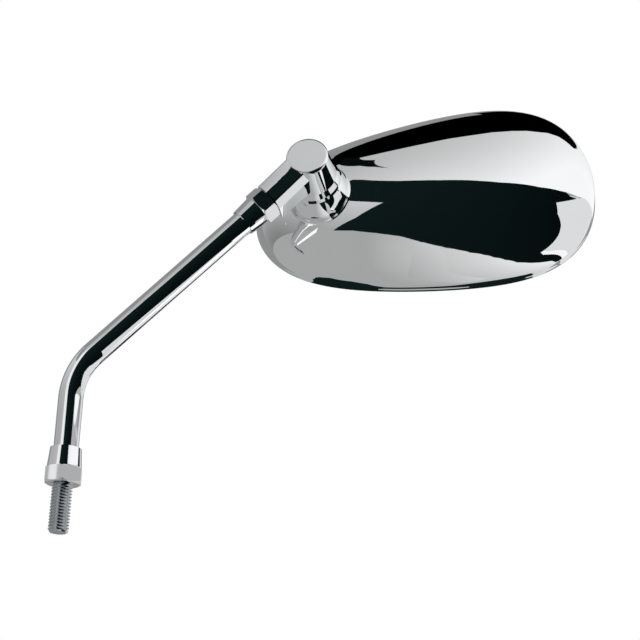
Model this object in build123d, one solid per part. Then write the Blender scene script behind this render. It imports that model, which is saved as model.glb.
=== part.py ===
"""Motorcycle mirror for the left handlebar: bent stem, locknuts, cast knuckle, ball joint and egg-shaped head

Millimetres, +Z up the threaded stud. The origin is on the stud's axis in the seat plane of the lower locknut,
+X is outboard along the bend of the stem and +Y is towards the rider, the way the glass faces.
"""
from build123d import *
import os
from math import cos, pi, radians, sin, sqrt, tan

# Stem
rod_radius = 6.0
thread_radius = 5.0
thread_pitch = 1.5
free_thread = 23.3
thread_chamfer = 1.0
bend_height = 55.5
bend_angle = 43.1
bend_radius = 34.0
knuckle_reach = 155.3

# Locknuts
base_nut_flats = 17.0
knuckle_nut_flats = 15.6
nut_hex_height = 8.0
nut_skirt_height = 9.4
nut_chamfer = 1.1
skirt_step = 0.2
skirt_taper = 0.8
rod_cover = 8.0
base_nut_turn = 33.0
knuckle_nut_turn = 12.0

# Knuckle casting
knuckle_turn = 14.3
arm_length = 27.2
arm_rise = 7.4
arm_drop = 8.2
arm_half_width = 8.25
arm_crown = 1.0
arm_root = 8.8
arm_root_crown = 0.05
arm_end = 4.9
arm_edge_width = 0.8
arm_edge_drop = 0.55
arm_chamfer_width = 1.85
arm_chamfer_drop = 5.0
arm_bottom_chamfer = 1.0
barrel_rise = 8.1
barrel_drop = 15.6
barrel_top_radius = 10.4
barrel_waist_radius = 12.0
barrel_edge_round = 1.4
flange_radius = 13.3
flange_height = 2.8
flange_flare = 3.0
flange_land = 0.3
stud_tip_gap = 6.5

# Ball joint
ball_radius = 15.8
ball_wall = 2.5
ball_gap = 0.3
ball_rim_gap = 0.7
ball_hole_angle = 33.0
seat_inner_radius = 9.4
seat_outer_radius = 11.9
seat_depth = 1.1
liner_thickness = 0.9
liner_from_angle = 31.0
liner_to_angle = 52.0
cup_angle = 58.0
cup_floor = 3.3
bolt_radius = 3.0
bolt_pitch = 1.0
bolt_grip = 11.0
bolt_end = 1.5
washer_radius = 6.5
washer_thickness = 1.2
spring_count = 4
spring_radius = 7.0
spring_thickness = 0.9
spring_cone = 0.4
clamp_nut_flats = 10.0
clamp_nut_hex_height = 4.0
clamp_nut_height = 6.0
clamp_nut_chamfer = 0.6

# Head outline: an egg with its long axis along local X
half_length = 88.0
half_height = 45.1
egg_skew = 0.205
egg_fullness = 0.283
head_roll = 12.5
ball_from_tip = 31.8
ball_above_axis = 6.2
ball_proud = 1.4
outline_steps = 28

# Head housing
dome_depth = 34.0
dome_step = 0.4
dome_wall = 2.4
dome_sink = 5.0
lip_height = 6.0
lip_wall = 2.2
ledge_depth = 6.6
boss_round = 1.2
post_radius = 3.6
post_places = [(54.0, 21.0), (54.0, -21.0), (-18.0, 25.0), (-18.0, -25.0)]

# Glass, its seal and what carries them
glass_curve = 1500.0
glass_thickness = 2.5
glass_recess = 0.5
glass_inset = 3.2
seal_cover = 1.6
seal_recess = 0.3
foam_inset = 9.0
carrier_inset = 5.2
carrier_gap = 0.4
carrier_thickness = 2.2
screw_radius = 1.5
screw_head_radius = 2.9
screw_length = 10.0

# Clearances
thread_fit = 0.02
turning_fit = 0.05
sliding_gap = 0.2
lock_gap = 0.1

# Values that follow from the sizes above
thread_depth_share = 0.325
engaged_radius = thread_radius - thread_depth_share * thread_pitch
bolt_engaged_radius = bolt_radius - thread_depth_share * bolt_pitch
nut_height = nut_hex_height + nut_skirt_height
rod_start = nut_height - rod_cover
arm_end_reach = knuckle_reach - arm_length
upper_seat_reach = arm_end_reach - lock_gap
seat_sphere = ball_radius + ball_rim_gap
ball_drop = sqrt(seat_sphere**2 - (flange_radius - flange_land) ** 2)
ball_inner = ball_radius - ball_wall
liner_outer = ball_inner - ball_gap
liner_inner = liner_outer - liner_thickness
cup_radius = liner_inner - ball_gap
washer_bore = bolt_radius + sliding_gap

# Frames: bend corner, knuckle (X along the stem, Z down the barrel), ball and head (Z out of its back)
corner = Vector(0, 0, bend_height)
stem_dir = Vector(sin(radians(bend_angle)), 0, cos(radians(bend_angle)))
crossing = corner + stem_dir * knuckle_reach
barrel_dir = Vector(0, 1, 0).rotate(Axis((0, 0, 0), stem_dir), -knuckle_turn)
knuckle_frame = Plane(crossing, x_dir=stem_dir, z_dir=barrel_dir)
ball_centre = crossing + barrel_dir * (barrel_drop + ball_drop)
ball_frame = Plane(ball_centre, x_dir=stem_dir, z_dir=barrel_dir)
head_long = Vector(cos(radians(head_roll)), 0, sin(radians(head_roll)))
head_back = Vector(0, -1, 0)
head_up = head_back.cross(head_long)


def egg_half_height(x, inset=0.0):
    """Half the egg's height at a place along its long axis."""
    share = x / (half_length - inset)
    return (half_height - inset) * sqrt(1 - share**2) * (1 + egg_skew * share + egg_fullness * share**2)


def dome_height(x, y):
    """Height of the outer dome over the top of the lip, which its base is sunk into."""
    section = egg_half_height(x, dome_step)
    return (dome_depth + dome_sink) / (half_height - dome_step) * sqrt(section**2 - y**2) - dome_sink


ball_x = ball_from_tip - half_length
ball_above_rim = lip_height + dome_height(ball_x, ball_above_axis) + ball_proud
head_centre = ball_centre - head_long * ball_x - head_up * ball_above_axis - head_back * ball_above_rim
head_frame = Plane(head_centre, x_dir=head_long, z_dir=head_back)


def turned(*points):
    """Body of revolution about Z from (radius, height) points."""
    outline = Polyline(*[(radius, 0, height) for radius, height in points], close=True)
    return revolve(make_face(outline), Axis.Z)


def pipe(radius, bore, bottom, top):
    """Straight ring about Z."""
    return turned((bore, bottom), (radius, bottom), (radius, top), (bore, top))


def rod(radius, bottom, top):
    """Round bar about Z."""
    return turned((0, bottom), (radius, bottom), (radius, top), (0, top))


def spherical_band(inner, outer, from_angle, to_angle):
    """Ring between two spheres about the origin, its angles counted from -Z."""

    def at(radius, angle):
        return (radius * sin(radians(angle)), 0, -radius * cos(radians(angle)))

    middle = (from_angle + to_angle) / 2
    edges = [
        ThreePointArc(at(outer, from_angle), at(outer, middle), at(outer, to_angle)),
        Line(at(outer, to_angle), at(inner, to_angle)),
        ThreePointArc(at(inner, to_angle), at(inner, middle), at(inner, from_angle)),
        Line(at(inner, from_angle), at(outer, from_angle)),
    ]
    return revolve(make_face(edges), Axis.Z)


def chamfered_hex(flats, bottom, top, chamfer):
    """Hexagon bar about Z with the turned chamfer of a nut at both ends."""
    corner_radius = flats / 2 / cos(pi / 6)
    bar = Pos(0, 0, bottom) * extrude(RegularPolygon(flats / 2, 6, major_radius=False), top - bottom)
    slope = (corner_radius - flats / 2) + chamfer
    inside = flats / 2 - chamfer / 2
    envelope = turned(
        (0, bottom),
        (inside, bottom),
        (inside + slope, bottom + slope * tan(pi / 6)),
        (inside + slope, top - slope * tan(pi / 6)),
        (inside, top),
        (0, top),
    )
    return bar & envelope


def make_stem():
    """Bent rod with a threaded stud at each end, plain at pitch radius inside the nuts and the knuckle."""
    path = FilletPolyline((0, 0, rod_start), corner, corner + stem_dir * (upper_seat_reach - rod_start),
                          radius=bend_radius)
    bar = sweep(Plane((0, 0, rod_start), z_dir=(0, 0, 1)) * Circle(rod_radius), path)
    stud = turned(
        (0, -free_thread),
        (thread_radius - thread_chamfer, -free_thread),
        (thread_radius, -free_thread + thread_chamfer),
        (thread_radius, 0),
        (engaged_radius, 0),
        (engaged_radius, rod_start),
        (0, rod_start),
    )
    upper_stud = rod(engaged_radius, upper_seat_reach - rod_start, knuckle_reach - stud_tip_gap)
    return bar + stud + Plane(corner, z_dir=stem_dir).location * upper_stud


def make_locknut(flats):
    """Hexagon locknut with a conical skirt that slips over the end of the rod."""
    skirt_base = flats / 2 - skirt_step
    body = chamfered_hex(flats, 0, nut_hex_height, nut_chamfer)
    body += turned(
        (0, nut_hex_height - nut_chamfer),
        (skirt_base, nut_hex_height - nut_chamfer),
        (skirt_base, nut_hex_height),
        (skirt_base - skirt_taper, nut_height),
        (0, nut_height),
    )
    counterbore = rod_radius + sliding_gap
    body -= rod(engaged_radius + thread_fit, 0, nut_height)
    return body - rod(counterbore, rod_start - sliding_gap, nut_height)


def arm_section(x, rise, crown):
    """Section of the knuckle's arm: a block with a steep chamfer each side of its crowned top, at -Z."""
    top = crown - rise
    edge = arm_half_width - arm_chamfer_width
    roof_edge = edge - arm_edge_width
    shoulder = top + arm_edge_drop
    half = [
        (roof_edge, top),
        (edge, shoulder),
        (arm_half_width, shoulder + arm_chamfer_drop),
        (arm_half_width, arm_drop - arm_bottom_chamfer),
        (arm_half_width - arm_bottom_chamfer, arm_drop),
    ]
    sides = Polyline(*half, *[(-across, height) for across, height in reversed(half)])
    roof = ThreePointArc((-roof_edge, top), (0, -rise), (roof_edge, top))
    plane = Plane((x, 0, 0), x_dir=(0, 1, 0), z_dir=(1, 0, 0))
    return plane * make_face(sides + roof)


def make_knuckle():
    """Casting with a flared barrel, a chamfered arm for the stem's stud and a hollow seat for the ball."""
    flange_top = barrel_drop - flange_height
    barrel = turned(
        (0, -barrel_rise),
        (barrel_top_radius, -barrel_rise),
        (barrel_waist_radius, flange_top - flange_flare),
        (flange_radius, flange_top),
        (flange_radius, barrel_drop),
        (0, barrel_drop),
    )
    barrel = fillet(barrel.edges().group_by(Axis.Z)[0], barrel_edge_round)
    arm = loft(
        [
            arm_section(-arm_length, arm_rise, arm_crown),
            arm_section(-arm_root, barrel_rise, arm_root_crown),
            arm_section(-arm_end, barrel_rise, arm_root_crown),
        ],
        ruled=True,
    )
    body = barrel + arm
    stud_bore = rod(engaged_radius + turning_fit, 0, arm_length - stud_tip_gap + sliding_gap)
    body -= Plane((-arm_length, 0, 0), z_dir=(1, 0, 0)).location * stud_bore
    ball_place = Pos(0, 0, barrel_drop + ball_drop)
    body -= ball_place * Sphere(seat_sphere)
    body -= ball_place * pipe(seat_outer_radius, seat_inner_radius, seat_groove_bottom(), 0)
    return body - ball_place * rod(bolt_engaged_radius + thread_fit, -seat_sphere - bolt_grip, 0)


def seat_groove_bottom():
    """Floor of the groove for the seat ring, measured from the ball's centre."""
    return -sqrt(seat_sphere**2 - seat_inner_radius**2) - seat_depth


def make_seat_ring():
    """Nylon ring in the knuckle's groove, with a hollow face for the ball."""
    ring = pipe(seat_outer_radius - thread_fit, seat_inner_radius + thread_fit, seat_groove_bottom(), 0)
    return ring - Sphere(ball_radius + ball_gap)


def cup_underside():
    """Flat underside of the pressure cup, measured from the ball's centre."""
    return -cup_radius * cos(radians(cup_angle))


def spring_seat():
    """Floor of the pressure cup's recess, measured from the ball's centre."""
    return -cup_radius + cup_floor


def washer_top():
    """Where the stack of disc springs meets the washer."""
    return spring_seat() + lock_gap + spring_count * (spring_thickness + spring_cone)


def make_pressure_cup():
    """Steel cup that the springs press against the inside of the ball, turning freely on the bolt."""
    cap = Sphere(cup_radius) & rod(cup_radius, -cup_radius, cup_underside())
    cap -= rod(washer_bore, -cup_radius, 0)
    return cap - rod(spring_radius + sliding_gap, spring_seat(), 0)


def make_disc_springs():
    """Stack of conical disc springs, turned over by turns."""
    springs = []
    for index in range(spring_count):
        bottom = spring_seat() + lock_gap + index * (spring_thickness + spring_cone)
        outer_lift, inner_lift = (0, spring_cone) if index % 2 == 0 else (spring_cone, 0)
        springs.append(
            turned(
                (washer_bore, bottom + inner_lift),
                (spring_radius, bottom + outer_lift),
                (spring_radius, bottom + outer_lift + spring_thickness),
                (washer_bore, bottom + inner_lift + spring_thickness),
            )
        )
    return Compound(children=springs)


def make_clamp_bolt():
    """Stud from the knuckle through the ball, with a plain shank between its two threads."""
    shoulder = -sqrt(seat_sphere**2 - bolt_radius**2)
    shank_end = washer_top() + washer_thickness
    tip = shank_end + clamp_nut_height + bolt_end
    return turned(
        (0, -seat_sphere - bolt_grip + bolt_end),
        (bolt_engaged_radius, -seat_sphere - bolt_grip + bolt_end),
        (bolt_engaged_radius, shoulder),
        (bolt_radius, shoulder),
        (bolt_radius, shank_end),
        (bolt_engaged_radius, shank_end),
        (bolt_engaged_radius, tip),
        (0, tip),
    )


def make_clamp_washer():
    """Plain washer under the clamp nut."""
    return pipe(washer_radius, washer_bore, washer_top(), washer_top() + washer_thickness)


def make_clamp_nut():
    """Self-locking nut that sets the ball's friction, with a round collar at its end."""
    bottom = washer_top() + washer_thickness
    hex_top = bottom + clamp_nut_hex_height
    nut = chamfered_hex(clamp_nut_flats, bottom, hex_top, clamp_nut_chamfer)
    collar_radius = clamp_nut_flats / 2 - clamp_nut_chamfer
    nut += rod(collar_radius, hex_top - clamp_nut_chamfer, bottom + clamp_nut_height)
    return nut - rod(bolt_engaged_radius + thread_fit, bottom, bottom + clamp_nut_height)


def make_friction_liner():
    """Thin nylon liner that floats between the pressure cup and the inside of the ball."""
    return spherical_band(liner_inner, liner_outer, liner_from_angle, liner_to_angle)


def egg_point(turn, inset):
    """Point of the egg's outline at a share of a full turn, counted from its blunt end."""
    angle = 2 * pi * turn
    swell = 1 + egg_skew * cos(angle) + egg_fullness * cos(angle) ** 2
    return ((half_length - inset) * cos(angle), (half_height - inset) * sin(angle) * swell)


def egg_face(inset):
    """Flat face with the egg's outline."""
    points = [egg_point(step / outline_steps, inset) for step in range(outline_steps)]
    return make_face(Spline(points, periodic=True))


def egg_plate(inset, bottom, top):
    """Flat plate with the egg's outline."""
    return Pos(0, 0, bottom) * extrude(egg_face(inset), top - bottom)


def half_egg(inset, depth):
    """Half an egg, cut along its long axis and flattened to a given depth."""
    upper = split(egg_face(inset), Plane.ZX, keep=Keep.TOP)
    return scale(revolve(upper, Axis.X, 180), by=(1, 1, depth / (half_height - inset)))


def ball_in_head():
    """Frame of the ball joint in the head's own frame."""
    return head_frame.location.inverse() * ball_frame.location


def make_housing():
    """Hollow half-egg shell with a rim lip, the ball boss on its back and posts for the carrier's screws."""
    dome_base = Pos(0, 0, lip_height - dome_sink)
    full_depth = dome_depth + dome_sink
    ball_place = ball_in_head()
    outside = egg_plate(0, 0, lip_height) + dome_base * half_egg(dome_step, full_depth)
    posts = [Pos(x, y, 0) * rod(post_radius, carrier_back(), lip_height + dome_depth) for x, y in post_places]
    posts = [post & outside for post in posts]
    shell = outside + ball_place * Sphere(ball_radius)
    boss = shell.faces().filter_by(GeomType.SPHERE)[0]
    shell = fillet(boss.edges().sort_by(SortBy.LENGTH)[-1:], boss_round)
    shell -= dome_base * half_egg(dome_step + dome_wall, full_depth - dome_wall)
    shell -= egg_plate(lip_wall, -lip_height, ledge_depth)
    shell -= ball_place * Sphere(ball_inner)
    hole_reach = 2 * ball_radius
    hole_width = hole_reach * tan(radians(ball_hole_angle))
    shell -= ball_place * turned((0, 0), (hole_width, -hole_reach), (0, -hole_reach))
    shell += posts
    pilot = rod(screw_radius + thread_fit, 0, carrier_front() + screw_length)
    return shell - [Pos(x, y, 0) * pilot for x, y in post_places]


def glass_sphere(depth):
    """Solid ball whose front is the glass's convex face, moved back by a depth."""
    return Pos(0, 0, glass_recess + glass_curve) * Sphere(glass_curve - depth)


def carrier_front():
    """Front face of the carrier, measured from the rim."""
    return ledge_depth + carrier_gap


def carrier_back():
    """Back face of the carrier, measured from the rim."""
    return carrier_front() + carrier_thickness


def make_mirror_glass():
    """Convex mirror glass."""
    return (egg_plate(glass_inset, 0, ledge_depth) & glass_sphere(0)) - glass_sphere(glass_thickness)


def make_glass_seal():
    """Rubber channel round the edge of the glass, seated on the ledge inside the lip."""
    ring = egg_plate(lip_wall + thread_fit, seal_recess, ledge_depth)
    ring -= egg_plate(glass_inset + seal_cover, 0, ledge_depth)
    return ring - make_mirror_glass()


def make_foam_pad():
    """Foam between the back of the glass and the carrier."""
    return egg_plate(foam_inset, 0, carrier_front()) & glass_sphere(glass_thickness)


def make_carrier():
    """Moulded plate behind the glass, with countersunk holes over the housing's posts."""
    plate = egg_plate(carrier_inset, carrier_front(), carrier_back())
    return plate - [Pos(x, y, 0) * screw_shape(thread_fit) for x, y in post_places]


def screw_shape(fit):
    """Countersunk screw along Z, its head flush with the carrier's front."""
    top = carrier_front()
    head = screw_head_radius - screw_radius
    return turned(
        (0, top),
        (screw_head_radius + fit, top),
        (screw_radius + fit, top + head),
        (screw_radius + fit, top + screw_length),
        (0, top + screw_length),
    )


def make_carrier_screws():
    """The carrier's screws, as a group."""
    return Compound(children=[Pos(x, y, 0) * screw_shape(0) for x, y in post_places])


base_nut_place = Rot(0, 0, base_nut_turn)
upper_nut_frame = Plane(corner + stem_dir * upper_seat_reach, x_dir=barrel_dir, z_dir=-stem_dir)
upper_nut_place = upper_nut_frame.location * Rot(0, 0, knuckle_nut_turn)
nodes = {
    "stem": make_stem(),
    "base_locknut": base_nut_place * make_locknut(base_nut_flats),
    "knuckle_locknut": upper_nut_place * make_locknut(knuckle_nut_flats),
    "knuckle": knuckle_frame.location * make_knuckle(),
    "seat_ring": ball_frame.location * make_seat_ring(),
    "clamp_bolt": ball_frame.location * make_clamp_bolt(),
    "disc_springs": ball_frame.location * make_disc_springs(),
    "clamp_washer": ball_frame.location * make_clamp_washer(),
    "clamp_nut": ball_frame.location * make_clamp_nut(),
    "pressure_cup": ball_frame.location * make_pressure_cup(),
    "friction_liner": ball_frame.location * make_friction_liner(),
    "housing": head_frame.location * make_housing(),
    "glass_seal": head_frame.location * make_glass_seal(),
    "mirror_glass": head_frame.location * make_mirror_glass(),
    "foam_pad": head_frame.location * make_foam_pad(),
    "glass_carrier": head_frame.location * make_carrier(),
    "carrier_screws": head_frame.location * make_carrier_screws(),
}

os.makedirs("parts", exist_ok=True)
for name, shape in nodes.items():
    export_step(shape, f"parts/{name}.step")

# Axes and places that the joints and the mount use
print("crossing", crossing, "stem_dir", stem_dir, "barrel_dir", barrel_dir)
print("ball_centre", ball_centre, "head_centre", head_centre, "head_up", head_up)
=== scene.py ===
"""Looks of the motorcycle mirror: chromed stem, knuckle and egg-shaped head, in a white studio.

Lengths are in millimetres, as in the part's source, and are turned to metres when a mesh is made.
"""
from math import asin, cos, pi, radians, sin, sqrt, tan

import bmesh
import bpy
from mathutils import Matrix, Vector


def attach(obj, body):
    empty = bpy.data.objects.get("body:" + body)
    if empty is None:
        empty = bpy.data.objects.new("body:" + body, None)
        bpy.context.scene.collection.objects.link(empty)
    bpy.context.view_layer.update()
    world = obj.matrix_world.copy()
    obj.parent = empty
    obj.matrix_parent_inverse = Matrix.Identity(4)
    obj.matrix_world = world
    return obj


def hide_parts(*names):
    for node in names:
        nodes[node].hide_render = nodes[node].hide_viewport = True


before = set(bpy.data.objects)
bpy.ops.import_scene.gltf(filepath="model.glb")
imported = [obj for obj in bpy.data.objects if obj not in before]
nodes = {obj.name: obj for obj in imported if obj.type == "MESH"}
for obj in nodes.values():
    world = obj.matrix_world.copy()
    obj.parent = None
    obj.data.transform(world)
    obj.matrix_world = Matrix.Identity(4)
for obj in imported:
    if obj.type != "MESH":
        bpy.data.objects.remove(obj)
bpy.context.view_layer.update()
MM = 0.001
x_axis = Vector((1, 0, 0))
y_axis = Vector((0, 1, 0))
z_axis = Vector((0, 0, 1))

# Camera, fitted to the photo: it looks up at the back of the mirror
camera_aim = Vector((116.1, 0, 89.0))
camera_distance = 1150.0
camera_elevation = -18.0
camera_roll = 3.54
pixel_size = 0.482
image_pixels = 640
sensor_width = 36.0
view_limit = 50000.0

# Stem, as in the part's source
rod_radius = 6.0
rod_edge = 0.5
rod_start = 9.4
bend_height = 55.5
bend_angle = 43.1
bend_radius = 34.0
upper_seat_reach = 128.0
stud_tip_reach = 148.8
engaged_radius = 4.5125
thread_radius = 5.0
thread_pitch = 1.5
thread_chamfer = 1.0
free_thread = 23.3

# Head, as in the part's source
half_length = 88.0
half_height = 45.1
egg_skew = 0.205
egg_fullness = 0.283
head_roll = 12.5
head_centre = Vector((166.968, 56.3284, 170.657))
dome_depth = 34.0
dome_step = 0.4
dome_wall = 2.4
dome_sink = 5.0
lip_height = 6.0
lip_wall = 2.2
ledge_depth = 6.6
ball_centre = Vector((110.7584, 24.963, 164.5465))
ball_radius = 15.8
ball_wall = 2.5
ball_hole_angle = 33.0
boss_round = 1.2
barrel_dir = Vector((0.1803494, 0.9690157, -0.1687679))
glass_curve = 1500.0
glass_thickness = 2.5
glass_recess = 0.5
glass_inset = 3.2
glass_edge = 0.3


def new_object(name, points, faces, normals=None):
    """Mesh object from points in millimetres, smooth, with given normals where there are any."""
    mesh = bpy.data.meshes.new(name)
    mesh.from_pydata([Vector(p) * MM for p in points], [], faces)
    mesh.polygons.foreach_set("use_smooth", [True] * len(mesh.polygons))
    mesh.update()
    if normals:
        mesh.normals_split_custom_set_from_vertices(normals)
    obj = bpy.data.objects.new(name, mesh)
    bpy.context.scene.collection.objects.link(obj)
    return obj


def ring_faces(rows, columns, closed):
    """Quads of a grid whose columns go round, and whose rows do too where it is closed."""
    faces = []
    for j in range(rows if closed else rows - 1):
        for i in range(columns):
            k = (i + 1) % columns
            m = (j + 1) % rows
            faces.append((j * columns + i, j * columns + k, m * columns + k, m * columns + i))
    return faces


# Head: its own axes, with z from the rim to the dome, and the ball joint's axis in them
head_x = Vector((cos(radians(head_roll)), 0, sin(radians(head_roll))))
head_z = Vector((0, -1, 0))
head_y = head_z.cross(head_x)
head_axes = Matrix((head_x, head_y, head_z))
to_world = head_axes.transposed()
ball_place = head_axes @ (ball_centre - head_centre)
boss_axis = head_axes @ -barrel_dir
boss_side = (x_axis - boss_axis * boss_axis.x).normalized()
boss_other = boss_side.cross(boss_axis)


def head_object(name, points, faces, normals):
    """Mesh object from points and normals in the head's own axes."""
    placed = [head_centre + to_world @ p for p in points]
    return new_object(name, placed, faces, [to_world @ n for n in normals])


# Head shell: one closed skin, laid out in half-planes about the ball joint's axis
shell_columns = 320
boss_rows = 14
fillet_rows = 8
dome_rows = 72
hollow_rows = 24
inner_ball_rows = 8
lowest_fillet = -60.0
dome_base = lip_height - dome_sink
dome_gap = 0.1
dome_probe = 0.01
lip_probe = 0.05

# Section of the lip as (inset, height, normal out, normal up): flared wall, rounded front edge, rabbet
flare_top = 5.0
flare_step = 0.8
flare = [(0.62, 0.12), (0.52, 0.11), (0.4, 0.17), (0.27, 0.17), (0.15, 0.1), (0.06, 0.1)]
front_round = 0.6
front_rows = 5
rabbet_chamfer = 0.4
lip = [(inset, flare_top - flare_step * row, 1, lean) for row, (inset, lean) in enumerate(flare)]
for row in range(front_rows + 1):
    angle = pi / 2 * row / front_rows
    lip.append((front_round * (1 - cos(angle)), front_round * (1 - sin(angle)), cos(angle), -sin(angle)))
lip += [(lip_wall - rabbet_chamfer, 0, 0, -1), (lip_wall, rabbet_chamfer, -1, 0)]
lip.append((lip_wall, ledge_depth, -1, 0))


def egg_height(x, inset):
    """Half the egg's height at a place along its long axis."""
    share = max(-1.0, min(1.0, x / (half_length - inset)))
    return (half_height - inset) * sqrt(1 - share**2) * (1 + egg_skew * share + egg_fullness * share**2)


def egg_slope(x, inset, probe):
    """Slope, along the egg, of the square of its half height."""
    return (egg_height(x + probe, inset) ** 2 - egg_height(x - probe, inset) ** 2) / (2 * probe)


def dome_value(p, inset, depth):
    """Below zero inside the half egg of that inset and depth."""
    flat = depth / (half_height - inset)
    return p.y**2 + ((p.z - dome_base) / flat) ** 2 - egg_height(p.x, inset) ** 2


def dome_normal(p, inset, depth):
    """Outward normal of the half egg, and the distance to it to first order."""
    flat = depth / (half_height - inset)
    slope = egg_slope(p.x, inset, dome_probe)
    gradient = Vector((-slope, 2 * p.y, 2 * (p.z - dome_base) / flat**2))
    return gradient.normalized(), dome_value(p, inset, depth) / gradient.length


def solve(low, high, inside, steps=44):
    """Where a condition that holds at the low end stops holding."""
    for _ in range(steps):
        middle = (low + high) / 2
        if inside(middle):
            low = middle
        else:
            high = middle
    return low


def outline_point(side, z, inset):
    """Point of the egg's outline in a half-plane about the boss axis, at a height over the rim."""

    def point(s):
        rise = (z - ball_place.z - s * side.z) / boss_axis.z
        return ball_place + side * s + boss_axis * rise

    def inside(s):
        p = point(s)
        return abs(p.x) < half_length - inset and abs(p.y) < egg_height(p.x, inset)

    return point(solve(0, 2 * half_length + half_height, inside))


def dome_point(side, s, inset, depth):
    """Point of the half egg in a half-plane about the boss axis, at a distance from that axis."""
    start = ball_place + side * s

    def inside(t):
        return dome_value(start + boss_axis * t, inset, depth) < 0

    low = (dome_base - start.z) / boss_axis.z
    return start + boss_axis * solve(low, low + 2 * depth, inside)


def shell_column(angle):
    """Points and normals of the shell's whole section in one half-plane."""
    side = boss_side * cos(angle) + boss_other * sin(angle)
    depth = dome_depth + dome_sink
    points = []
    normals = []

    def add(p, n):
        points.append(p)
        normals.append(n)

    def ball_dir(lift):
        return side * cos(lift) + boss_axis * sin(lift)

    # Ball boss, from the rim of its hole to the fillet
    hole = radians(90 - ball_hole_angle)
    reach = ball_radius + boss_round

    def clear(lift):
        return dome_normal(ball_place + ball_dir(lift) * reach, dome_step, depth)[1] > boss_round

    touch = solve(hole, radians(lowest_fillet), clear)
    for row in range(boss_rows + 1):
        lift = hole + (touch - hole) * row / boss_rows
        add(ball_place + ball_dir(lift) * ball_radius, ball_dir(lift))

    # Fillet between the boss and the dome
    centre = ball_place + ball_dir(touch) * reach
    foot = dome_normal(centre, dome_step, depth)[0]
    for row in range(1, fillet_rows):
        out = ball_dir(touch).lerp(foot, row / fillet_rows).normalized()
        add(centre - out * boss_round, out)

    # Dome, down to the lip
    start = (centre - foot * boss_round - ball_place).dot(side)
    last = (outline_point(side, lip_height, dome_step) - ball_place).dot(side)
    last = solve(start, last, lambda s: dome_point(side, s, dome_step, depth).z > lip_height + dome_gap)
    for row in range(dome_rows + 1):
        p = dome_point(side, start + (last - start) * sin(pi / 2 * row / dome_rows), dome_step, depth)
        add(p, dome_normal(p, dome_step, depth)[0])

    # Lip, from the dome to the bottom of the rabbet
    for inset, z, out, up in lip:
        p = outline_point(side, z, inset)
        outward = Vector((-egg_slope(p.x, inset, lip_probe), 2 * p.y, 0)).normalized()
        add(p, (outward * out + z_axis * up).normalized())

    # Inside: ledge, hollow dome and hollow ball
    inner = dome_step + dome_wall
    inner_depth = depth - dome_wall
    inner_ball = ball_radius - ball_wall

    def hollow_point(s):
        return dome_point(side, s, inner, inner_depth)

    last = (outline_point(side, ledge_depth, inner) - ball_place).dot(side)
    last = solve(0, last, lambda s: hollow_point(s).z > ledge_depth)
    start = solve(0, last, lambda s: (hollow_point(s) - ball_place).length < inner_ball)
    for row in range(hollow_rows + 1):
        p = hollow_point(last + (start - last) * (1 - cos(pi / 2 * row / hollow_rows)))
        add(p, -dome_normal(p, inner, inner_depth)[0])
    first = asin(max(-1.0, min(1.0, (points[-1] - ball_place).dot(boss_axis) / inner_ball)))
    for row in range(1, inner_ball_rows + 1):
        lift = first + (hole - first) * row / inner_ball_rows
        add(ball_place + ball_dir(lift) * inner_ball, -ball_dir(lift))
    return points, normals


columns = [shell_column(2 * pi * i / shell_columns) for i in range(shell_columns)]
shell_rows = len(columns[0][0])
shell = head_object(
    "head_shell",
    [points[j] for j in range(shell_rows) for points, normals in columns],
    ring_faces(shell_rows, shell_columns, True),
    [normals[j] for j in range(shell_rows) for points, normals in columns],
)
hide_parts("housing")
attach(shell, "head")

# Mirror glass: a thin convex plate with the egg's outline and ground edges
glass_columns = 160
glass_rings = 16
glass_back = glass_curve - glass_thickness
glass_face = glass_inset + glass_edge


def glass_row(share, inset, radius, shift, out, up):
    """Points and normals once round the glass, at a share of its outline and on a sphere or its edge."""
    middle = Vector((0, 0, glass_recess + glass_curve))
    length = half_length - inset
    height = half_height - inset
    points = []
    normals = []
    for i in range(glass_columns):
        angle = 2 * pi * i / glass_columns
        x = share * length * cos(angle)
        y = share * height * sin(angle) * (1 + egg_skew * cos(angle) + egg_fullness * cos(angle) ** 2)
        p = Vector((x, y, middle.z - sqrt(radius**2 - x**2 - y**2) + shift))
        outward = Vector((x / length**2, y / height**2, 0)).normalized()
        points.append(p)
        normals.append((outward * out + (p - middle).normalized() * up).normalized())
    return points, normals


shares = [ring / glass_rings for ring in range(1, glass_rings + 1)]
glass_rows = [glass_row(share, glass_face, glass_curve, 0, 0, 1) for share in shares]
glass_rows.append(glass_row(1, glass_inset, glass_curve, glass_edge, 1, 0))
glass_rows.append(glass_row(1, glass_inset, glass_back, -glass_edge, 1, 0))
glass_rows += [glass_row(share, glass_face, glass_back, 0, 0, -1) for share in reversed(shares)]
glass_points = [p for points, normals in glass_rows for p in points]
glass_normals = [n for points, normals in glass_rows for n in normals]
glass_faces = ring_faces(len(glass_rows), glass_columns, False)
front_middle = len(glass_points)
back_middle = front_middle + 1
last_row = front_middle - glass_columns
glass_points += [Vector((0, 0, glass_recess)), Vector((0, 0, glass_recess + glass_thickness))]
glass_normals += [-z_axis, z_axis]
for i in range(glass_columns):
    k = (i + 1) % glass_columns
    glass_faces += [(front_middle, k, i), (back_middle, last_row + i, last_row + k)]
glass = head_object("convex_glass", glass_points, glass_faces, glass_normals)
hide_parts("mirror_glass")
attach(glass, "head")

# Stem: thread, bent rod and upper stud in one skin
stem_columns = 96
thread_steps = 12
spare_turns = 3
bend_steps = 40
thread_top = 1.0
thread_depth_share = 0.6134
thread_depth = thread_depth_share * thread_pitch
crest_share = 0.125
root_share = 0.25
sharp_angle = 35.0
weld_distance = 0.001
bend = radians(bend_angle)
bend_corner = Vector((0, 0, bend_height))
stem_up = Vector((sin(bend), 0, cos(bend)))


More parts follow.
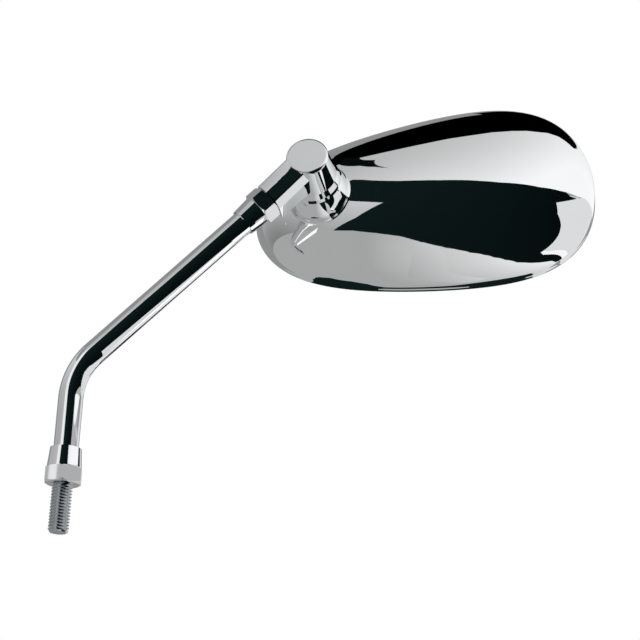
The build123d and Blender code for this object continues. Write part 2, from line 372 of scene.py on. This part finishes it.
def circle(centre, across, radius):
    """One row of points round the stem."""
    row = []
    for i in range(stem_columns):
        angle = 2 * pi * i / stem_columns
        row.append(centre + (across * cos(angle) + y_axis * sin(angle)) * radius)
    return row


def thread_radius_at(phase, z):
    """Radius of the free thread at a share of its pitch and a height, plain at pitch radius in the nut."""
    if z > 0:
        return engaged_radius
    flank = (1 - crest_share - root_share) / 2
    share = (abs(phase - 0.5) - crest_share / 2) / flank
    ridge = thread_radius - thread_depth * max(0.0, min(1.0, share))
    return min(ridge, thread_radius - thread_chamfer + z + free_thread)


def thread_rows():
    """Rows that climb one pitch in a turn, held between the stud's end and a place inside the nut."""
    rows = []
    for j in range(int((free_thread + thread_top) / thread_pitch + spare_turns) * thread_steps):
        row = []
        for i in range(stem_columns):
            z = -free_thread + (j / thread_steps + i / stem_columns - 1) * thread_pitch
            z = max(-free_thread, min(thread_top, z))
            radius = thread_radius_at((j / thread_steps) % 1.0, z)
            angle = 2 * pi * i / stem_columns
            row.append(Vector((radius * cos(angle), radius * sin(angle), z)))
        rows.append(row)
    return rows


def rod_rows():
    """Rows of the bent rod and of the stud at its upper end."""
    foot = z_axis * rod_start
    rows = [circle(foot, x_axis, radius) for radius in (engaged_radius, rod_radius - rod_edge)]
    rows.append(circle(foot + z_axis * rod_edge, x_axis, rod_radius))
    centre = Vector((bend_radius, 0, bend_height - bend_radius * tan(bend / 2)))
    for step in range(bend_steps + 1):
        angle = bend * step / bend_steps
        outward = Vector((-cos(angle), 0, sin(angle)))
        rows.append(circle(centre + outward * bend_radius, -outward, rod_radius))
    across = Vector((cos(bend), 0, -sin(bend)))
    top = bend_corner + stem_up * (upper_seat_reach - rod_start)
    tip = bend_corner + stem_up * stud_tip_reach
    rows.append(circle(top - stem_up * rod_edge, across, rod_radius))
    rows += [circle(top, across, radius) for radius in (rod_radius - rod_edge, engaged_radius)]
    rows += [circle(tip, across, radius) for radius in (engaged_radius, 0.0)]
    return rows


threaded = [circle(z_axis * -free_thread, x_axis, 0.0)] + thread_rows()
stem_grid = threaded + rod_rows()


def seam_row(j):
    """Row that meets a row where the columns close: in the thread it is the one a turn further on."""
    if 0 < j < len(threaded):
        return min(j + thread_steps, len(threaded) - 1)
    return j


stem_faces = ring_faces(len(stem_grid), stem_columns, False)
for j in range(len(stem_grid) - 1):
    corners = [(j, stem_columns - 1), (seam_row(j), 0), (seam_row(j + 1), 0), (j + 1, stem_columns - 1)]
    stem_faces[(j + 1) * stem_columns - 1] = [row * stem_columns + column for row, column in corners]
stem = new_object("bent_stem", [p for row in stem_grid for p in row], stem_faces)
build = bmesh.new()
build.from_mesh(stem.data)
bmesh.ops.remove_doubles(build, verts=build.verts[:], dist=weld_distance * MM)
build.to_mesh(stem.data)
build.free()
stem.data.set_sharp_from_angle(angle=radians(sharp_angle))
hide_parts("stem")
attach(stem, "stem")

# Materials
grain_detail = 6.0
grain_roughness = 0.6
bump_scale = 6
bump_detail = 4.0
bump_strength = 0.6


def add_node(tree, kind, values=None):
    """Shader node with its input values set by name."""
    node = tree.nodes.new(kind)
    for name, value in (values or {}).items():
        node.inputs[name].default_value = value
    return node


def surface(name, dark, light, metallic, rough, grain, bump=0.0, coat=0.0):
    """Principled material whose colour and roughness drift with fine noise, with a little bump."""
    material = bpy.data.materials.new(name)
    material.use_nodes = True
    tree = material.node_tree
    shader = tree.nodes["Principled BSDF"]
    shader.inputs["Metallic"].default_value = metallic
    shader.inputs["Coat Weight"].default_value = coat
    place = add_node(tree, "ShaderNodeTexCoord")
    drift = {"Scale": grain, "Detail": grain_detail, "Roughness": grain_roughness}
    noise = add_node(tree, "ShaderNodeTexNoise", drift)
    tree.links.new(place.outputs["Object"], noise.inputs["Vector"])
    mix = add_node(tree, "ShaderNodeMix")
    mix.data_type = "RGBA"
    mix.inputs["A"].default_value = (*dark, 1)
    mix.inputs["B"].default_value = (*light, 1)
    tree.links.new(noise.outputs["Fac"], mix.inputs["Factor"])
    tree.links.new(mix.outputs["Result"], shader.inputs["Base Color"])
    span = add_node(tree, "ShaderNodeMapRange", {"To Min": rough[0], "To Max": rough[1]})
    tree.links.new(noise.outputs["Fac"], span.inputs["Value"])
    tree.links.new(span.outputs["Result"], shader.inputs["Roughness"])
    if bump:
        fine = add_node(tree, "ShaderNodeTexNoise", {"Scale": grain * bump_scale, "Detail": bump_detail})
        tree.links.new(place.outputs["Object"], fine.inputs["Vector"])
        relief = add_node(tree, "ShaderNodeBump", {"Strength": bump_strength, "Distance": bump * MM})
        tree.links.new(fine.outputs["Fac"], relief.inputs["Height"])
        tree.links.new(relief.outputs["Normal"], shader.inputs["Normal"])
    return material


chrome = surface("polished_chrome", (0.83, 0.85, 0.86), (0.89, 0.905, 0.91), 1.0, (0.015, 0.04), 90.0)
shell_chrome = surface("shell_chrome", (0.84, 0.86, 0.865), (0.89, 0.905, 0.91), 1.0, (0.012, 0.03), 60.0)
steel = surface("plain_steel", (0.42, 0.43, 0.44), (0.6, 0.61, 0.62), 1.0, (0.25, 0.45), 240.0, bump=0.02)
zinc = surface("bright_zinc", (0.5, 0.53, 0.54), (0.66, 0.69, 0.7), 1.0, (0.1, 0.22), 200.0)
nylon = surface("nylon", (0.72, 0.7, 0.64), (0.82, 0.8, 0.75), 0.0, (0.4, 0.6), 200.0, bump=0.02)
rubber = surface(
    "seal_rubber", (0.012, 0.012, 0.013), (0.035, 0.035, 0.036), 0.0, (0.5, 0.75), 300.0, bump=0.03,
)
silver = surface("silvered_glass", (0.86, 0.88, 0.89), (0.89, 0.905, 0.91), 1.0, (0.0, 0.015), 40.0, coat=1.0)
foam = surface("foam", (0.04, 0.04, 0.04), (0.09, 0.09, 0.09), 0.0, (0.85, 1.0), 700.0, bump=0.2)
moulding = surface(
    "carrier_plastic", (0.02, 0.02, 0.021), (0.05, 0.05, 0.052), 0.0, (0.45, 0.65), 260.0, bump=0.03,
)
finishes = {
    chrome: ["base_locknut", "knuckle_locknut", "knuckle"],
    steel: ["clamp_bolt", "disc_springs", "clamp_washer", "clamp_nut", "pressure_cup", "carrier_screws"],
    nylon: ["seat_ring", "friction_liner"],
    rubber: ["glass_seal"],
    foam: ["foam_pad"],
    moulding: ["glass_carrier"],
}
for material, names in finishes.items():
    for name in names:
        nodes[name].data.materials.clear()
        nodes[name].data.materials.append(material)
shell.data.materials.append(shell_chrome)
glass.data.materials.append(silver)
stem.data.materials.append(chrome)
stem.data.materials.append(zinc)
for face in stem.data.polygons:
    face.material_index = 1 if face.center.z < thread_top * MM else 0

# Studio: white surround, pale floor, and cards and lamps that only reflections see
card_centre = Vector((150.0, 10.0, 172.0))
card_step = 6.0
brightest = 1.06
white = (1, 1, 1)
cool_dark = (0.45, 1.0, 1.0)


def direction(azimuth, elevation):
    """Direction from azimuth (0 towards the camera, + to the right) and elevation, in degrees."""
    flat = cos(radians(elevation))
    return Vector((flat * sin(radians(azimuth)), -flat * cos(radians(azimuth)), sin(radians(elevation))))


def only_reflected(obj):
    """Hide an object from all rays but those of reflections."""
    for ray in ("camera", "diffuse", "transmission", "volume_scatter", "shadow"):
        setattr(obj, "visible_" + ray, False)


def glow_card(name, points, faces, glows, tint):
    """Card that only reflections see, with a glow at each point."""
    obj = new_object(name, points, faces)
    obj.data.attributes.new("glow", "FLOAT", "POINT").data.foreach_set("value", glows)
    material = bpy.data.materials.new(name)
    material.use_nodes = True
    tree = material.node_tree
    tree.nodes.clear()
    source = add_node(tree, "ShaderNodeAttribute")
    source.attribute_name = "glow"
    glow = add_node(tree, "ShaderNodeEmission", {"Color": (*tint, 1)})
    out = add_node(tree, "ShaderNodeOutputMaterial")
    tree.links.new(source.outputs["Fac"], glow.inputs["Strength"])
    tree.links.new(glow.outputs["Emission"], out.inputs["Surface"])
    obj.data.materials.append(material)
    only_reflected(obj)


def wide_edges(build):
    """Edges of a card that are too long to follow its sphere."""
    return [edge for edge in build.edges if edge.calc_length() > card_step]


def sky_card(name, distance, glow, corners, slope=(0, 0, 0), least=0.0, tint=white):
    """Card on a sphere about the head: corners by azimuth and elevation, glow sloping with direction."""
    build = bmesh.new()
    build.faces.new([build.verts.new((azimuth, elevation, 0)) for azimuth, elevation in corners])
    build.normal_update()
    bmesh.ops.triangulate(build, faces=build.faces[:])
    while wide_edges(build):
        bmesh.ops.subdivide_edges(build, edges=wide_edges(build), cuts=1)
        bmesh.ops.triangulate(build, faces=[face for face in build.faces if len(face.verts) > 3])
    build.verts.index_update()
    rays = [direction(v.co.x, v.co.y) for v in build.verts]
    faces = [[v.index for v in face.verts] for face in build.faces]
    build.free()
    glows = [max(least, min(brightest, glow + Vector(slope).dot(ray))) for ray in rays]
    glow_card(name, [card_centre + ray * distance for ray in rays], faces, glows, tint)


def level_card(name, height, glow, outline, slope=(0, 0), tint=white):
    """Level card lower than the head, its glow sloping from what it is under the middle of the head."""
    points = [Vector((x, y, height)) for x, y in outline]
    glows = [glow + Vector((*slope, 0)).dot(p - card_centre) for p in points]
    glow_card(name, points, [list(range(len(points)))], glows, tint)


def strip_lamp(name, place, along, across, length, width, glow):
    """Flat lamp that only reflections see, shining against the cross product of its sides' directions."""
    data = bpy.data.lights.new(name, "AREA")
    data.shape = "RECTANGLE"
    data.size = length * MM
    data.size_y = width * MM
    data.energy = glow * pi * data.size * data.size_y
    obj = bpy.data.objects.new(name, data)
    axes = Matrix((along, across, along.cross(across))).transposed()
    obj.matrix_world = Matrix.Translation(place * MM) @ axes.to_4x4()
    bpy.context.scene.collection.objects.link(obj)
    only_reflected(obj)


# Far surroundings of the head, each card nearer than those that it covers
sky_card("grey_room", 5900, 0.3, [(-180, -90), (180, -90), (180, 90), (-180, 90)])
sky_card("back_wall", 5850, 0.6, [
    (160, -14), (200, -14), (200, 13), (160, 13),
], slope=(1.2, 0, 0.8), least=0.3)
sky_card("left_wall", 5800, 0.7, [
    (-120, -24), (0, -34), (0, 12), (-30, 30), (-120, 45),
], slope=(0.36, 0, 0.35))
sky_card("left_strip", 5750, 0.95, [
    (-28, 12), (-33, 20), (-35, 37), (-40, 52), (-66, 52), (-56, 37), (-50, 12),
])
sky_card("table", 5700, 0.42, [
    (-180, -90), (180, -90), (180, -20), (150, -15), (130, -20), (100, -40), (20, -40), (-10, -24),
    (-60, -22), (-180, -25),
], slope=(1.1, -0.18, 0), least=0.42)
sky_card("right_wall", 5650, 0.8, [
    (50, -20), (50, 0), (88, 7), (110, 13), (150, 20), (152, -8), (115, -50), (107, -55), (90, -40),
])
sky_card("right_strip", 5600, 1.05, [
    (104, -46), (107, -49), (115, -46), (125, -34), (135, -24), (146, -14), (144, -10), (131, -20),
    (121, -30), (110, -43),
])
sky_card("grey_band", 5600, 0.47, [(42, 2), (95, 8), (95, 30), (40, 30)])
sky_card("dark_right", 5550, 0.04, [(95, 14), (128, 18), (128, 40), (95, 40)])
sky_card("dark_top", 5500, 0.0, [
    (-180, 55), (-150, 62), (-120, 66), (-90, 66), (-60, 60), (0, 55), (60, 55), (100, 50), (115, 48),
    (125, 42), (140, 39), (155, 34), (168, 30), (180, 45), (180, 90), (-180, 90),
])
sky_card("dark_front", 5400, 0.009, [
    (-33, 37), (-10, 55), (30, 35), (44, 14), (60, 8), (75, 4), (88.4, 6), (75, 0), (57, -8), (65, -18),
    (80, -25), (90, -32), (100, -42), (107, -48), (115, -45), (125, -33), (135, -23), (146, -13),
    (146, -18), (138, -28), (133, -40), (129, -48), (121, -58), (105, -65.5), (85, -69.6), (65, -70.4),
    (45, -69.5), (31, -66.5), (20, -62.7), (13, -58.5), (7, -53.5), (2.5, -48), (-1.2, -42.7),
    (-8, -35.7), (-15.5, -29.6), (-23.8, -26.9), (-15.6, -12.6), (-11.5, 2.1), (-15.6, 6.2),
    (-21.5, 11.2), (-27, 14), (-31, 20),
], slope=(-0.006, 0, 0), tint=cool_dark)

# Near surroundings: softbox with a dark gap in front of it, and what lies under and behind the head
sky_card("softbox", 600, 0.92, [
    (-75, 30), (-60, 24), (-36, 27), (-31.5, 38.5), (-26.7, 35.9), (-13.6, 25.6), (-3.8, 18.9),
    (7.9, 12.5), (16, 9), (26.7, 6.8), (41.6, 4.3), (63, 4.6), (90, 7), (108, 10.5), (150, 14), (160, 31),
    (147, 33), (133, 36), (121, 40), (112, 52), (100, 60), (86, 65), (72, 70), (49, 74), (19, 76),
    (-24, 74), (-65, 67), (-75, 60),
], slope=(0.34, 0, -0.3))
sky_card("dark_gap", 590, 0.004, [
    (-93.5, 67.3), (-70, 67.8), (-41.6, 60.8), (-23, 45.3), (-31, 50.7), (-42.5, 56.2), (-58, 59.9),
], tint=cool_dark)
level_card("near_table", 70, 0.453, [
    (166, -30), (172, -27), (181, -14), (188, 4), (192, 58), (225, 108), (205, 120), (166, 66),
], slope=(0.0058, -0.0018))
level_card("dark_back", 20, 0.012, [
    (71, 225), (78, 156), (84, 139), (100, 122), (111, 128), (127, 132), (142, 151), (150, 178),
    (160, 205), (186, 210), (213, 210), (230, 200), (247, 198), (268, 206), (295, 228), (326, 264),
    (345, 330), (420, 900), (20, 900), (62, 300),
], tint=cool_dark)

# Strip lamp by the stem: each edge lies where the rod mirrors it, and a lean makes its reflection taper
strip_start = 15.0
strip_length = 103.0
strip_gap = 10.0
strip_lean = radians(5.0)
strip_glow = 0.75
near_normal = direction(23, -21)
near_ray = direction(46, -22)
far_normal = direction(45, -33)
far_ray = direction(92, -32)
near_edge = near_normal * rod_radius + near_ray * strip_gap
far_edge = far_normal * rod_radius + far_ray * strip_gap
breadth = far_edge - near_edge
outward = (breadth - stem_up * breadth.dot(stem_up)).normalized()
strip_along = stem_up * cos(strip_lean) + outward * sin(strip_lean)
strip_across = stem_up * sin(strip_lean) - outward * cos(strip_lean)
strip_foot = bend_corner + stem_up * strip_start + (near_edge + far_edge) / 2
strip_place = strip_foot + strip_along * strip_length / 2
strip_lamp("stem_strip", strip_place, strip_along, strip_across, strip_length, breadth.length, strip_glow)

# Small lamp that the left flat of the base nut mirrors
flat_place = Vector((-4.6, -7.2, 4.0))
flat_ray = direction(-60.3, 13.9)
nut_lamp_distance = 400.0
nut_lamp_height = 40.0
nut_lamp_width = 5.0
nut_lamp_glow = 0.45
nut_lamp_across = flat_ray.cross(z_axis).normalized()
nut_lamp_up = nut_lamp_across.cross(flat_ray)
nut_lamp_place = flat_place + flat_ray * nut_lamp_distance
strip_lamp(
    "nut_lamp", nut_lamp_place, nut_lamp_up, nut_lamp_across, nut_lamp_height, nut_lamp_width, nut_lamp_glow,
)

world = bpy.data.worlds.new("white_studio")
bpy.context.scene.world = world
world.use_nodes = True
world.node_tree.nodes["Background"].inputs["Color"].default_value = (*white, 1)
world.node_tree.nodes["Background"].inputs["Strength"].default_value = 1.0

floor_height = -1400.0
floor_half = 6000.0
floor = new_object(
    "studio_floor",
    [(x * floor_half, y * floor_half, floor_height) for x, y in ((-1, -1), (1, -1), (1, 1), (-1, 1))],
    [(0, 1, 2, 3)],
)
floor_paint = surface("floor_paint", (0.95, 0.95, 0.95), (0.98, 0.98, 0.98), 0.0, (0.7, 0.9), 3.0)
floor.data.materials.append(floor_paint)
floor.visible_glossy = False

# Camera
forward = Vector((0, cos(radians(camera_elevation)), -sin(radians(camera_elevation))))
upright = x_axis.cross(forward)
turn = radians(camera_roll)
right = x_axis * cos(turn) + upright * sin(turn)
up = upright * cos(turn) - x_axis * sin(turn)
eye = camera_aim - forward * camera_distance
camera_data = bpy.data.cameras.new("photo_camera")
camera_data.sensor_width = sensor_width
camera_data.lens = sensor_width * camera_distance / pixel_size / image_pixels
camera_data.clip_end = view_limit * MM
camera = bpy.data.objects.new("photo_camera", camera_data)
camera_axes = Matrix((right, up, -forward)).transposed()
camera.matrix_world = Matrix.Translation(eye * MM) @ camera_axes.to_4x4()
bpy.context.scene.collection.objects.link(camera)
bpy.context.scene.camera = camera
bpy.context.scene.view_settings.view_transform = "Standard"
